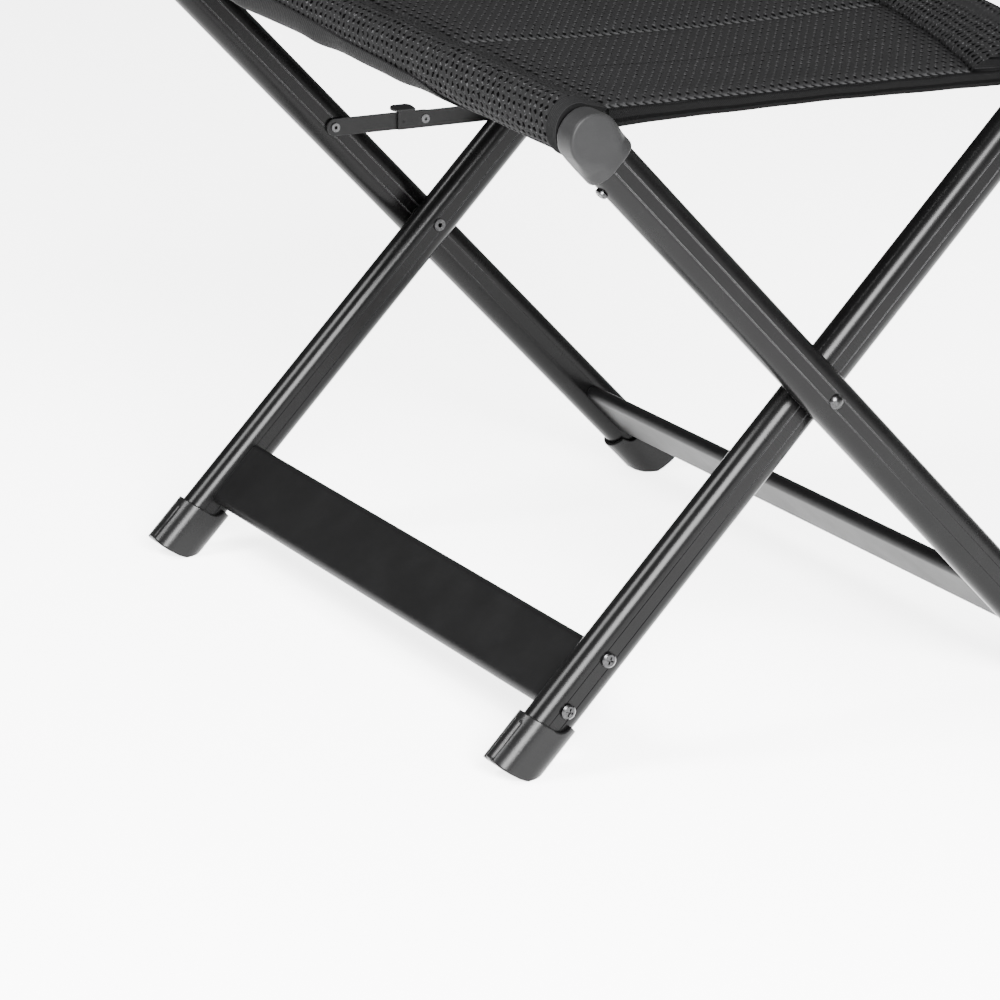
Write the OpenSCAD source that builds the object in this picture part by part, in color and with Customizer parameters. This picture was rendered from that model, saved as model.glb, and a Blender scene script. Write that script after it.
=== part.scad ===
// Folding camp stool with a crossed tube frame and a padded mesh seat.
// Each side of the X is a rectangle-like frame: two flat-oval legs, a round
// top tube inside a fabric sleeve, and a flat rail between the feet.
// X runs across the X of the frame, Y along the pivot axis, Z is up.

/* [Stance] */
// Height of the pivot axis above the ground
pivot_z = 211.5; // [190:0.5:240]
// Angle of each leg above the ground, open
lean = 45.77; // [42:0.01:50]
// Distance of the outer leg centres from the middle plane
outer_y = 259.25; // [240:0.25:280]
// Centre of the near inner leg, measured from the middle plane
inner_near_y = 238.25; // [220:0.25:258]
// Centre of the far inner leg, measured from the middle plane
inner_far_y = 233.75; // [215:0.25:250]

/* [Leg tube] */
// Width of the flat-oval tube
tube_w = 30; // [24:0.5:34]
// Thickness of the flat-oval tube
tube_t = 20; // [16:0.5:22]
// Wall of the tube
tube_wall = 1.5; // [1:0.1:2.5]
// Distance of each decorative groove from the centre line
groove_u = 3.95; // [3:0.05:5]
// Length of a leg below the pivot, to the end of the tube
leg_low = 275; // [260:1:285]

/* [Top tube] */
// Distance from the pivot to the top tube at the near end
top_near = 245; // [235:1:255]
// Distance from the pivot to the top tube at the far end
top_far = 297; // [285:1:310]
// Diameter of the top tube
bar_d = 25; // [20:0.5:26]
// Thickness of the fabric sleeve round the top tube
sleeve_t = 2; // [1.5:0.1:4]

/* [Corner cap] */
// Radius of the rounded end of the cap
cap_r = 16.3; // [16:0.1:18]
// How far the rounded end sits below the top tube's axis
cap_low = 1.3; // [0:0.1:1.5]
// Wall of the collar round the leg
cap_wall = 2.1; // [1.5:0.1:3]
// Distance from the top tube axis down to the collar rim
cap_drop = 25; // [22:0.5:30]
// Depth of the rounded end, from its outer face to the fabric sleeve
cap_depth = 16.5; // [14:0.5:20]

/* [Foot] */
// Wall of the rubber boot
boot_wall = 3; // [1.5:0.1:3.2]

/* [Foot rail] */
// Distance of the rail centre below the pivot, along the leg
rail_s = 221.8; // [210:0.1:230]
// Distance between the two screw channels of the rail
rail_pitch = 38.8; // [34:0.1:42]
// Thickness of the rail
rail_t = 10; // [8:0.5:12]

/* [Brace] */
// Distance from the main pivot to a brace rivet, along the leg
brace_s = 98.3; // [90:0.1:110]
// Width of the brace links
link_w = 12; // [10:0.5:15]
// Thickness of the brace links
link_t = 1.5; // [1:0.1:2]

/* [Seat] */
// Thickness of the padded panel
seat_t = 10; // [6:0.5:14]
// Height of the panel centre above the top tube axes
seat_rise = 1.5; // [0:0.5:8]

/* [Hidden] */
$fn = 64;
tilt = 90 - lean;
slant = atan((top_far - top_near) / (2 * outer_y));
cap_t = tube_t + 2 * cap_wall;
cap_w = tube_w + 2 * cap_wall;
face_y = tube_t / 2;
near_gap = outer_y - inner_near_y - tube_t;
far_gap = outer_y - inner_far_y - tube_t;
// planes of the two brace links, from the far inner leg outwards
link_b_y = inner_far_y + face_y + 0.9;
link_a_y = link_b_y + link_t + 0.5;
brace_x = brace_s * cos(lean);
brace_z = pivot_z + brace_s * sin(lean);
seat_slope = atan(tan(slant) * sin(lean));
// the far caps reach a little further on one side, so the whole is centred
centre_x = (top_far - top_s(inner_far_y)) * cos(lean) / 2;
// gap along the leg from its top end to the axis of the top tube
leg_gap = 17.5;
// ends of the left and right sleeves, which the panel follows
left_0 = -outer_y - cap_t / 2 + cap_depth + 0.4;
left_1 = -left_0;
right_0 = -inner_near_y - cap_t / 2 + cap_depth + 0.4;
right_1 = inner_far_y + cap_t / 2 - cap_depth - 0.4;
// ends of the panel, set back from the sleeve ends on the left
edge_0 = right_0 - 6;
edge_1 = 240;

// Distance along the leg of the top tube axis, at a place along Y
function top_s(y) = top_near + (top_far - top_near) * (y + outer_y) / (2 * outer_y);

// Puts the middle of the outline over the origin
module place() {
  translate([centre_x, 0, 0])
    children();
}
// The outer frame leans to -X going up; local z is up the leg
module outer_frame() {
  translate([0, 0, pivot_z])
    rotate([0, -tilt, 0])
      children();
}
// The inner frame is the mirror image and leans to +X
module inner_frame() {
  mirror([1, 0, 0])
    outer_frame()
      children();
}

// Flat oval outline, long side along x
module oval(w, t) {
  union() {
    square([w - t, t], center = true);
    translate([(w - t) / 2, 0]) circle(d = t);
    translate([-(w - t) / 2, 0]) circle(d = t);
  }
}

// ---- legs ----
module leg_profile() {
  difference() {
    oval(tube_w, tube_t);
    oval(tube_w - 2 * tube_wall, tube_t - 2 * tube_wall);
    for (u = [-groove_u, groove_u], v = [-1, 1])
      translate([u, v * face_y]) square([0.7, 0.8], center = true);
  }
}
module cross_hole(s, d) {
  translate([0, 0, s])
    rotate([90, 0, 0])
      cylinder(h = tube_t + 4, d = d, center = true);
}
// A leg from the boot to the cap, with its drilled holes
module leg(top, holes_pivot) {
  difference() {
    translate([0, 0, -leg_low])
      linear_extrude(height = leg_low + top)
        leg_profile();
    cross_hole(0, holes_pivot);
    cross_hole(-rail_s + rail_pitch / 2, 4.3);
    cross_hole(-rail_s - rail_pitch / 2, 4.3);
    // hole for the cap screw, in the narrow underside
    translate([-tube_w / 2 - 2, 0, top + leg_gap - cap_drop - 9])
      rotate([0, 90, 0])
        cylinder(h = 8, d = 4.3);
  }
}
module brace_hole(side) {
  translate([0, side * face_y, brace_s])
    rotate([90, 0, 0])
      cylinder(h = 6, d = 5, center = true);
}
module outer_leg_near() {
  color("#2c2c2e") outer_frame()
    translate([0, -outer_y, 0]) leg(top_near - leg_gap, 6);
}
module outer_leg_far() {
  color("#2c2c2e") outer_frame()
    translate([0, outer_y, 0])
      difference() {
        leg(top_far - leg_gap, 6);
        brace_hole(-1);
      }
}
module inner_leg_near() {
  color("#2c2c2e") inner_frame()
    translate([0, -inner_near_y, 0]) leg(top_s(-inner_near_y) - leg_gap, 6.1);
}
module inner_leg_far() {
  color("#2c2c2e") inner_frame()
    translate([0, inner_far_y, 0])
      difference() {
        leg(top_s(inner_far_y) - leg_gap, 6.1);
        brace_hole(1);
      }
}

// ---- top tubes ----
// From cap to cap along the slanted axis; y0 and y1 are the tube ends
module along_bar(y0) {
  translate([0, y0, top_s(y0)])
    rotate([slant, 0, 0])
      rotate([-90, 0, 0])
        children();
}
module ring_between(y0, y1, d_out, d_in) {
  len = (y1 - y0) / cos(slant);
  along_bar(y0)
    difference() {
      cylinder(h = len, d = d_out);
      translate([0, 0, -1]) cylinder(h = len + 2, d = d_in);
    }
}
module outer_top_tube() {
  color("#2c2c2e") outer_frame()
    ring_between(-outer_y - 7, outer_y + 7, bar_d, bar_d - 3);
}
module inner_top_tube() {
  color("#2c2c2e") inner_frame()
    ring_between(-inner_near_y - 7, inner_far_y + 7, bar_d, bar_d - 3);
}

// ---- corner caps ----
// Elbow with its leg at local y = 0, its rounded end towards -y; b is the slant
module end_disc(b) {
  y0 = -cap_t / 2;
  rotate([b, 0, 0])
    rotate([-90, 0, 0])
      translate([0, cap_low, y0]) {
        cylinder(h = cap_depth, r = cap_r - 1.2);
        translate([0, 0, 1.2]) cylinder(h = cap_depth - 1.2, r = cap_r);
      }
}
module cap_body(b) {
  // how far the rounded end reaches inward at its lower edge
  reach = -cap_t / 2 + cap_depth + min(0, cap_r * sin(b));
  intersection() {
    union() {
      // collar over the leg
      translate([0, 0, -cap_drop])
        linear_extrude(height = cap_drop - leg_gap + 1.2)
          oval(cap_w, cap_t);
      // rounded end, run smoothly into the collar
      hull() {
        end_disc(b);
        translate([0, 0, -leg_gap + 0.2])
          linear_extrude(height = 1)
            intersection() {
              oval(cap_w, cap_t);
              translate([-30, -30]) square([60, 30 + reach]);
            }
      }
    }
    // keeps the outer face flat
    translate([-40, -cap_t / 2, -60]) cube([80, 60, 100]);
  }
}
module cap(b) {
  difference() {
    union() {
      difference() {
        cap_body(b);
        // pocket round the leg tube
        translate([0, 0, -cap_drop - 1])
          linear_extrude(height = cap_drop - leg_gap + 1)
            oval(tube_w + 0.2, tube_t + 0.2);
      }
      // plug inside the leg tube
      translate([0, 0, -cap_drop - 21])
        linear_extrude(height = cap_drop + 21 - leg_gap + 0.8)
          oval(tube_w - 2 * tube_wall - 0.3, tube_t - 2 * tube_wall - 0.3);
    }
    // socket for the top tube
    rotate([b, 0, 0])
      rotate([-90, 0, 0])
        translate([0, 0, -7 / cos(slant)])
          cylinder(h = 60, d = bar_d + 0.1);
    // pilot hole for the screw in the plug
    translate([-tube_w / 2, 0, -cap_drop - 9])
      rotate([0, 90, 0])
        cylinder(h = 12, d = 4.05);
  }
}
module cap_at(y, side) {
  translate([0, y, top_s(y)])
    if (side < 0) cap(slant);
    else mirror([0, 1, 0]) cap(-slant);
}
module outer_cap_near() { color("#6c6c6e") outer_frame() cap_at(-outer_y, -1); }
module outer_cap_far() { color("#6c6c6e") outer_frame() cap_at(outer_y, 1); }
module inner_cap_near() { color("#6c6c6e") inner_frame() cap_at(-inner_near_y, -1); }
module inner_cap_far() { color("#6c6c6e") inner_frame() cap_at(inner_far_y, 1); }

// ---- screws ----
// Pan head screw along +z, head below z = 0
module pan_screw(d_head, h_head, d, len) {
  difference() {
    union() {
      cylinder(h = len, d = d);
      translate([0, 0, -h_head + 0.9]) cylinder(h = h_head - 0.9, d = d_head);
      translate([0, 0, -h_head]) cylinder(h = 0.9, d1 = d_head - 2.2, d2 = d_head);
    }
    for (a = [0, 90])
      rotate([0, 0, a + 20])
        translate([-d_head * 0.27, -0.55, -h_head - 1])
          cube([d_head * 0.54, 1.1, 2.5]);
  }
}
module rail_screws_at(y, side) {
  for (k = [-0.5, 0.5])
    translate([0, y + side * face_y, -rail_s + k * rail_pitch])
      rotate([side > 0 ? 90 : -90, 0, 0])
        pan_screw(9.4, 2.6, 4, 44);
}
module outer_rail_screws() {
  color("#8a8a8c") outer_frame() {
    rail_screws_at(-outer_y, -1);
    rail_screws_at(outer_y, 1);
  }
}
module inner_rail_screws() {
  color("#8a8a8c") inner_frame() {
    rail_screws_at(-inner_near_y, -1);
    rail_screws_at(inner_far_y, 1);
  }
}
module cap_screw_at(y) {
  translate([-tube_w / 2, y, top_s(y) - cap_drop - 9])
    rotate([0, 90, 0])
      pan_screw(7.6, 2.4, 3.9, 11);
}
module outer_cap_screws() {
  color("#8a8a8c") outer_frame() {
    cap_screw_at(-outer_y);
    cap_screw_at(outer_y);
  }
}
module inner_cap_screws() {
  color("#8a8a8c") inner_frame() {
    cap_screw_at(-inner_near_y);
    cap_screw_at(inner_far_y);
  }
}

// ---- foot rail ----
module rail(y0, y1) {
  translate([0, y0, -rail_s])
    rotate([-90, 0, 0])
      linear_extrude(height = y1 - y0)
        rotate(90)
          difference() {
            oval(rail_pitch + rail_t, rail_t);
            square([rail_pitch - 12, rail_t - 3.4], center = true);
            for (k = [-0.5, 0.5])
              translate([k * rail_pitch, 0]) circle(d = 4.1);
          }
}
module outer_foot_rail() {
  color("#242425") outer_frame()
    rail(-outer_y + face_y, outer_y - face_y);
}
module inner_foot_rail() {
  color("#242425") inner_frame()
    rail(-inner_near_y + face_y, inner_far_y - face_y);
}

// ---- feet ----
// Side outline of the boot: x across the leg with the toe at +x, y up the leg
function ground_s(u) = (-pivot_z - u * cos(lean)) / sin(lean);
module boot_outline() {
  heel = -tube_w / 2 - boot_wall;
  toe = tube_w / 2 + boot_wall;
  difference() {
    polygon([
      [heel, -246.8], [heel, -273], [heel + 1, -277], [-14.5, ground_s(-14.5)],
      [-7.5, ground_s(-7.5)], [-2, -289.9], [6, -291.6], [12, -292.4],
      [toe - 1.6, -292.2], [toe - 0.4, -291.2], [toe, -289], [toe, -257.5],
      [0, -254.6], [-1, -246.8]]);
    // scallop of the rim beside the heel
    translate([0.5, -246.3]) circle(r = 8.6);
  }
}
module boot() {
  difference() {
    intersection() {
      rotate([90, 0, 0])
        linear_extrude(height = 60, center = true)
          boot_outline();
      translate([0, 0, -310])
        linear_extrude(height = 80)
          oval(tube_w + 2 * boot_wall, tube_t + 2 * boot_wall);
    }
    // socket for the leg tube
    translate([0, 0, -leg_low])
      linear_extrude(height = 60)
        oval(tube_w + 0.1, tube_t + 0.1);
    // grooves between the three ribs of the toe
    for (v = [-3.6, 3.6])
      translate([tube_w / 2 + boot_wall - 2, v - 0.7, -300])
        cube([10, 1.4, 37]);
    for (v = [-3.6, 3.6])
      translate([11, v - 0.7, -300])
        cube([10, 1.4, 9.8]);
  }
}
module outer_foot_near() {
  color("#343436") outer_frame() translate([0, -outer_y, 0]) boot();
}
module outer_foot_far() {
  color("#343436") outer_frame() translate([0, outer_y, 0]) boot();
}
module inner_foot_near() {
  color("#343436") inner_frame() translate([0, -inner_near_y, 0]) boot();
}
module inner_foot_far() {
  color("#343436") inner_frame() translate([0, inner_far_y, 0]) boot();
}

// ---- main pivot ----
// Rivet along +y from the outer face of the outer leg; grip is the leg stack
module pivot_rivet(grip) {
  rotate([-90, 0, 0]) {
    difference() {
      union() {
        // domed head
        intersection() {
          translate([0, 0, 3.2]) sphere(r = 6);
          translate([0, 0, -4]) cylinder(h = 4, r = 4.8);
        }
        cylinder(h = grip + 0.3, d = 6);
        // rolled end
        translate([0, 0, grip + 0.3]) cylinder(h = 1.1, d = 8.2);
      }
      translate([0, 0, grip - 8]) cylinder(h = 12, d = 3.2);
    }
  }
}
module pivot_rivet_near() {
  color("#77777a")
    translate([0, -outer_y - face_y, pivot_z])
      pivot_rivet(2 * tube_t + near_gap);
}
module pivot_rivet_far() {
  color("#77777a")
    translate([0, outer_y + face_y, pivot_z])
      mirror([0, 1, 0]) pivot_rivet(2 * tube_t + far_gap);
}
// Bushes inside the inner legs, which turn on the rivets
module pivot_bushes() {
  color("#1d1d1e")
    for (y = [-inner_near_y, inner_far_y])
      translate([0, y, pivot_z])
        rotate([90, 0, 0])
          difference() {
            cylinder(h = tube_t - 2 * tube_wall - 0.1, d = 10, center = true);
            cylinder(h = tube_t, d = 6.1, center = true);
          }
}
module pivot_washer_near() {
  color("#1d1d1e")
    translate([0, -outer_y + face_y, pivot_z])
      rotate([-90, 0, 0])
        difference() {
          cylinder(h = near_gap - 0.3, d = 17);
          translate([0, 0, -1]) cylinder(h = 9, d = 6);
        }
}
module pivot_spacer_far() {
  color("#1d1d1e")
    translate([0, outer_y - face_y, pivot_z])
      rotate([90, 0, 0])
        difference() {
          cylinder(h = far_gap - 0.3, d = 17);
          translate([0, 0, -1]) cylinder(h = 9, d = 6);
        }
}

// ---- locking brace ----
// Flat bar in the XZ plane from x = 0 to x = len, thickness along +y
module bar_link(len) {
  rotate([-90, 0, 0])
    linear_extrude(height = link_t)
      union() {
        circle(d = link_w);
        translate([len, 0]) circle(d = link_w);
        translate([0, -link_w / 2]) square([len, link_w]);
      }
}
module y_hole(x, d) {
  translate([x, -1, 0])
    rotate([-90, 0, 0])
      cylinder(h = link_t + 2, d = d);
}
module brace_link_left() {
  color("#3a3a3c")
    translate([-brace_x, link_a_y, brace_z])
      difference() {
        bar_link(brace_x);
        y_hole(0, 4.1);
        y_hole(brace_x, 4);
      }
}
// The right link runs on past the middle rivet and carries the finger tab
module brace_link_right() {
  color("#3a3a3c")
    translate([0, link_b_y, brace_z])
      difference() {
        union() {
          bar_link(brace_x);
          translate([-21, 0, -link_w / 2]) cube([21, link_t, link_w]);
          // finger tab bent back over the top edge of the left link
          translate([-20.5, 0, link_w / 2 - 0.5]) cube([12.5, link_t, 1.7]);
          translate([0, 0, link_w / 2 + 0.7])
            rotate([12, 0, 0])
              linear_extrude(height = 1.4)
                union() {
                  translate([-20.5, 0]) square([12.5, 5]);
                  translate([-20.4, 4.6]) circle(r = 4.6);
                  translate([-19, 4]) square([8, 5.2]);
                  translate([-12.6, 4.6]) circle(r = 4.6);
                }
        }
        y_hole(0, 4);
        y_hole(brace_x, 4.1);
        translate([-17, -0.8, 0]) rotate([-90, 0, 0]) cylinder(h = 1.2, d = 1.8);
      }
}
// Rivet fixed in the outer leg; its rolled end shows on the left link
module brace_rivet_left() {
  y0 = outer_y - face_y;
  color("#9a9a9c")
    translate([-brace_x, y0 + 3, brace_z])
      rotate([90, 0, 0])
        difference() {
          union() {
            cylinder(h = y0 + 3 - link_a_y + 0.3, d = 4);
            translate([0, 0, y0 + 3 - link_a_y + 0.25]) cylinder(h = 0.8, d = 6.2);
            cylinder(h = 1.4, d = 7);
          }
          translate([0, 0, 2]) cylinder(h = 12, d = 2.4);
        }
}
module brace_rivet_right() {
  y0 = inner_far_y + face_y;
  color("#9a9a9c")
    translate([brace_x, y0 - 3, brace_z])
      rotate([-90, 0, 0])
        difference() {
          union() {
            cylinder(h = link_b_y + link_t - y0 + 3 + 0.2, d = 4);
            cylinder(h = 1.4, d = 7);
            translate([0, 0, link_b_y + link_t - y0 + 3.15])
              cylinder(h = 0.15, d = 6.2);
          }
          translate([0, 0, 2]) cylinder(h = 12, d = 2.4);
        }
}
module brace_middle_rivet_front() {
  color("#9a9a9c")
    translate([0, link_b_y - 0.45, brace_z])
      rotate([-90, 0, 0])
        difference() {
          union() {
            cylinder(h = 0.45, d = 6.2);
            cylinder(h = 0.45 + link_t + 0.1, d = 4);
          }
          translate([0, 0, -1]) cylinder(h = 2.4, d = 2.4);
        }
}
module brace_middle_rivet_back() {
  color("#9a9a9c")
    translate([0, link_a_y - 0.1, brace_z])
      rotate([-90, 0, 0])
        union() {
          cylinder(h = link_t + 0.1, d = 4);
          translate([0, 0, link_t + 0.1]) cylinder(h = 0.6, d = 6.2);
        }
}
module brace_washer_left() {
  color("#9a9a9c")
    translate([-brace_x, link_a_y + link_t + 0.1, brace_z])
      rotate([-90, 0, 0])
        difference() {
          cylinder(h = outer_y - face_y - link_a_y - link_t - 0.1, d = 8);
          translate([0, 0, -1]) cylinder(h = 5, d = 4);
        }
}
module brace_washer_right() {
  color("#9a9a9c")
    translate([brace_x, inner_far_y + face_y, brace_z])
      rotate([-90, 0, 0])
        difference() {
          cylinder(h = link_b_y - inner_far_y - face_y - 0.1, d = 8);
          translate([0, 0, -1]) cylinder(h = 5, d = 4);
        }
}

// ---- seat ----
module sleeve_left() {
  color("#2b2b2c") outer_frame()
    ring_between(left_0, left_1, bar_d + 2 * sleeve_t, bar_d + 0.2);
}
module sleeve_right() {
  color("#2b2b2c") inner_frame()
    ring_between(right_0, right_1, bar_d + 2 * sleeve_t, bar_d + 0.2);
}
// Half width of the panel at a place along Y
function half_w(y) = top_s(y) * cos(lean) - bar_d / 2 - sleeve_t - 0.6;
// Corners of the panel on the left and right for an edge from y = l to y = r;
// the right end is cut back by trim along the same line
function left_end(l) = [-half_w(l), l / cos(seat_slope)];
function right_end(l, r, trim) =
  [half_w(r) - trim, (r + (l - r) * trim / (half_w(l) + half_w(r))) / cos(seat_slope)];
// Slab in the plane of the two top tubes; ends are given left and right
module seat_slab(l0, r0, l1, r1, thick, trim = 0) {
  translate([0, 0, pivot_z + top_s(0) * sin(lean) + seat_rise])
    rotate([seat_slope, 0, 0])
      translate([0, 0, -thick / 2])
        linear_extrude(height = thick)
          polygon([
            left_end(l0), right_end(l0, r0, trim),
            right_end(l1, r1, trim), left_end(l1)]);
}
module seat_panel() {
  color("#303031")
    seat_slab(edge_0 + 10, right_0 + 10, edge_1 - 10, right_1 - 10, seat_t);
}
module front_binding() {
  color("#2b2b2d")
    seat_slab(edge_0, right_0, edge_0 + 9.8, right_0 + 9.8, 8, 10);
}
module back_binding() {
  color("#2b2b2d")
    seat_slab(edge_1 - 9.8, right_1 - 9.8, edge_1, right_1, 8, 10);
}

place() outer_leg_near();
place() outer_leg_far();
place() outer_top_tube();
place() outer_foot_rail();
place() outer_cap_near();
place() outer_cap_far();
place() outer_foot_near();
place() outer_foot_far();
place() outer_rail_screws();
place() outer_cap_screws();
place() inner_leg_near();
place() inner_leg_far();
place() inner_top_tube();
place() inner_foot_rail();
place() inner_cap_near();
place() inner_cap_far();
place() inner_foot_near();
place() inner_foot_far();
place() inner_rail_screws();
place() inner_cap_screws();
place() pivot_rivet_near();
place() pivot_rivet_far();
place() pivot_bushes();
place() pivot_washer_near();
place() pivot_spacer_far();
place() brace_link_left();
place() brace_link_right();
place() brace_rivet_left();
place() brace_rivet_right();
place() brace_middle_rivet_back();
place() brace_middle_rivet_front();
place() brace_washer_left();
place() brace_washer_right();
place() sleeve_left();
place() sleeve_right();
place() seat_panel();
place() front_binding();
place() back_binding();
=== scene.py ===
import math

import bmesh
import bpy
import numpy as np
from mathutils import Matrix, Vector


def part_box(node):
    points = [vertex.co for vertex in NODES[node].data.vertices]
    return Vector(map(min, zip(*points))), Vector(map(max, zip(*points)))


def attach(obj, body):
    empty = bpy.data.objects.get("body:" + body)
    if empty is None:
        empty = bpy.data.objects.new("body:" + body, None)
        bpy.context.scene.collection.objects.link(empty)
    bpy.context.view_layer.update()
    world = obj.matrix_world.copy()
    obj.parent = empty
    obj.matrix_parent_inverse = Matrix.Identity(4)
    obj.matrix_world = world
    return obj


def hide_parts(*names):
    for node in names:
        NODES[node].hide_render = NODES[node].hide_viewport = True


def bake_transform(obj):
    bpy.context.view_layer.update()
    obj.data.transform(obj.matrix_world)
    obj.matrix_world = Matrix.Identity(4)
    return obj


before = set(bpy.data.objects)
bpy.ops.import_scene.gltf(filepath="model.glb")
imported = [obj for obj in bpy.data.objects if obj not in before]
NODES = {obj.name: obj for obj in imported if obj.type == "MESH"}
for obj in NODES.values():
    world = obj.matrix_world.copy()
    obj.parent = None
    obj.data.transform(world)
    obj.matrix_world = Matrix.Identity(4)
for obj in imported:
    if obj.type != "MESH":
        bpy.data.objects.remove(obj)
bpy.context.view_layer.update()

MM = 0.001
LEAN = math.radians(45.77)

# Sizes below are in mm. side is -1 for the left (outer) frame and 1 for the
# right (inner) one; end and which are -1 for near or front and 1 for far or back.

# ------------------------------------------------------------------ places
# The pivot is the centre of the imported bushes. Each top tube is a straight
# line, further from the pivot at its far end than at its near end.
_lo, _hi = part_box("pivot_bushes")
PIVOT_X = (_lo.x + _hi.x) / 2 / MM
PIVOT_Z = (_lo.z + _hi.z) / 2 / MM
TOP_NEAR, TOP_FAR = 245.0, 297.0
OUTER_Y = 259.25


def bar(y, side):
    """X and Z of a top tube's axis at y."""
    s = TOP_NEAR + (TOP_FAR - TOP_NEAR) * (np.asarray(y, float) + OUTER_Y) / (2 * OUTER_Y)
    return PIVOT_X + side * s * math.cos(LEAN), PIVOT_Z + s * math.sin(LEAN)


def smooth(e0, e1, x):
    """0 at e0, 1 at e1, with a soft start and end."""
    t = np.clip((np.asarray(x, float) - e0) / (e1 - e0), 0, 1)
    return t * t * (3 - 2 * t)


# ------------------------------------------------------------------ materials
class Nodes:
    """Small helper that writes shader nodes."""

    def __init__(self, name):
        self.mat = bpy.data.materials.new(name)
        self.mat.use_nodes = True
        self.nt = self.mat.node_tree
        self.bsdf = self.nt.nodes["Principled BSDF"]

    def new(self, kind, **props):
        n = self.nt.nodes.new(kind)
        for k, v in props.items():
            setattr(n, k, v)
        return n

    def put(self, socket, value):
        if isinstance(value, bpy.types.NodeSocket):
            self.nt.links.new(value, socket)
        elif value is not None:
            socket.default_value = value

    def math(self, op, a, b=None, c=None, clamp=False):
        n = self.new("ShaderNodeMath", operation=op, use_clamp=clamp)
        self.put(n.inputs[0], a)
        self.put(n.inputs[1], b)
        self.put(n.inputs[2], c)
        return n.outputs[0]

    def step(self, x, e0, e1, v0=0.0, v1=1.0):
        n = self.new("ShaderNodeMapRange", interpolation_type="SMOOTHSTEP")
        self.put(n.inputs["Value"], x)
        for k, v in (("From Min", e0), ("From Max", e1), ("To Min", v0), ("To Max", v1)):
            n.inputs[k].default_value = v
        return n.outputs["Result"]

    def obj(self):
        return self.new("ShaderNodeTexCoord").outputs["Object"]

    def attr(self, name, out="Fac"):
        return self.new("ShaderNodeAttribute", attribute_name=name).outputs[out]

    def mapping(self, vec, rot=(0, 0, 0), scale=(1, 1, 1)):
        n = self.new("ShaderNodeMapping")
        self.put(n.inputs["Vector"], vec)
        n.inputs["Rotation"].default_value = rot
        n.inputs["Scale"].default_value = scale
        return n.outputs[0]

    def noise(self, vec, scale, detail=2.0, rough=0.5):
        n = self.new("ShaderNodeTexNoise")
        self.put(n.inputs["Vector"], vec)
        n.inputs["Scale"].default_value = scale
        n.inputs["Detail"].default_value = detail
        n.inputs["Roughness"].default_value = rough
        return n.outputs["Fac"]

    def mix(self, fac, a, b):
        n = self.new("ShaderNodeMix", data_type="RGBA")
        self.put(n.inputs["Factor"], fac)
        for s, v in ((n.inputs["A"], a), (n.inputs["B"], b)):
            s = [i for i in n.inputs if i.name == s.name and i.type == "RGBA"][0]
            self.put(s, grey(v) if isinstance(v, float) else v)
        return [o for o in n.outputs if o.type == "RGBA"][0]

    def bump(self, height, strength, distance, normal=None):
        n = self.new("ShaderNodeBump")
        n.inputs["Strength"].default_value = strength
        n.inputs["Distance"].default_value = distance
        self.put(n.inputs["Height"], height)
        self.put(n.inputs["Normal"], normal)
        return n.outputs[0]

    def edges(self, radius):
        """A mask, 1 along edges and 0 on the faces, and the normal rounded over them."""
        b = self.new("ShaderNodeBevel", samples=4)
        b.inputs["Radius"].default_value = radius
        g = self.new("ShaderNodeNewGeometry").outputs["Normal"]
        d = self.new("ShaderNodeVectorMath", operation="DOT_PRODUCT")
        self.put(d.inputs[0], b.outputs[0])
        self.put(d.inputs[1], g)
        return self.step(d.outputs["Value"], 0.995, 0.90), b.outputs[0]

    def done(self, color, rough, normal, metallic=0.0, spec=0.5):
        b = self.bsdf.inputs
        self.put(b["Base Color"], color)
        self.put(b["Roughness"], rough)
        self.put(b["Normal"], normal)
        b["Metallic"].default_value = metallic
        self.put(b["Specular IOR Level"], spec)
        return self.mat


def grey(v, blue=1.02):
    return (v, v, v * blue, 1)


def tube_material(name, turn, base=0.0015, rough=0.23):
    """Satin black anodised extrusion: fine die lines along the tube."""
    m = Nodes(name)
    o = m.obj()
    along = m.mapping(m.mapping(o, rot=turn), scale=(1, 1, 0.012))
    lines = m.noise(along, 1500, 2.0, 0.6)
    wide = m.noise(along, 260, 2.0, 0.5)
    blot = m.noise(o, 26, 3.0, 0.6)
    grain = m.noise(o, 5200, 1.0, 0.5)
    col = m.mix(m.step(blot, 0.3, 0.75), base * 0.86, base * 1.25)
    col = m.mix(m.step(lines, 0.55, 0.85, 0.0, 0.35), col, base * 2.0)
    r = m.math("ADD", m.math("MULTIPLY", blot, 0.10), rough - 0.05)
    r = m.math("ADD", r, m.math("MULTIPLY", lines, 0.06))
    h = m.math("ADD", m.math("MULTIPLY", lines, 0.6), m.math("MULTIPLY", wide, 0.7))
    h = m.math("ADD", h, m.math("MULTIPLY", grain, 0.25))
    xyz = m.new("ShaderNodeSeparateXYZ")
    m.put(xyz.inputs[0], o)
    mask, _ = m.edges(0.00035)
    # painted highlight: the grooves' edges are painted lighter towards the top of the legs
    groove_highlight = m.step(xyz.outputs[2], 0.10, 0.26, 0.0, 0.8)
    col = m.mix(m.math("MULTIPLY", mask, groove_highlight), col, 0.07)
    n = m.bump(h, 0.22, 0.00005)
    return m.done(col, r, n, spec=0.085)


def plain_material(name, base, rough, grain_scale, grain, spec, edge=0.0, edge_radius=0.0006):
    """Painted or moulded surface with a fine grain and slightly lighter edges."""
    m = Nodes(name)
    o = m.obj()
    blot = m.noise(o, 32, 3.0, 0.6)
    fine = m.noise(o, grain_scale, 3.0, 0.6)
    col = m.mix(m.step(blot, 0.3, 0.75), base * 0.88, base * 1.12)
    col = m.mix(m.step(fine, 0.5, 0.8, 0.0, 0.5), col, base * 1.35)
    soft = None
    if edge > 0:
        mask, soft = m.edges(edge_radius)
        col = m.mix(m.math("MULTIPLY", mask, edge), col, min(1.0, base * 4 + 0.02))
    r = m.math("ADD", m.math("MULTIPLY", blot, 0.12), rough - 0.06)
    n = m.bump(fine, 0.35, grain, soft)
    return m.done(col, r, n, spec=spec)


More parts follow.
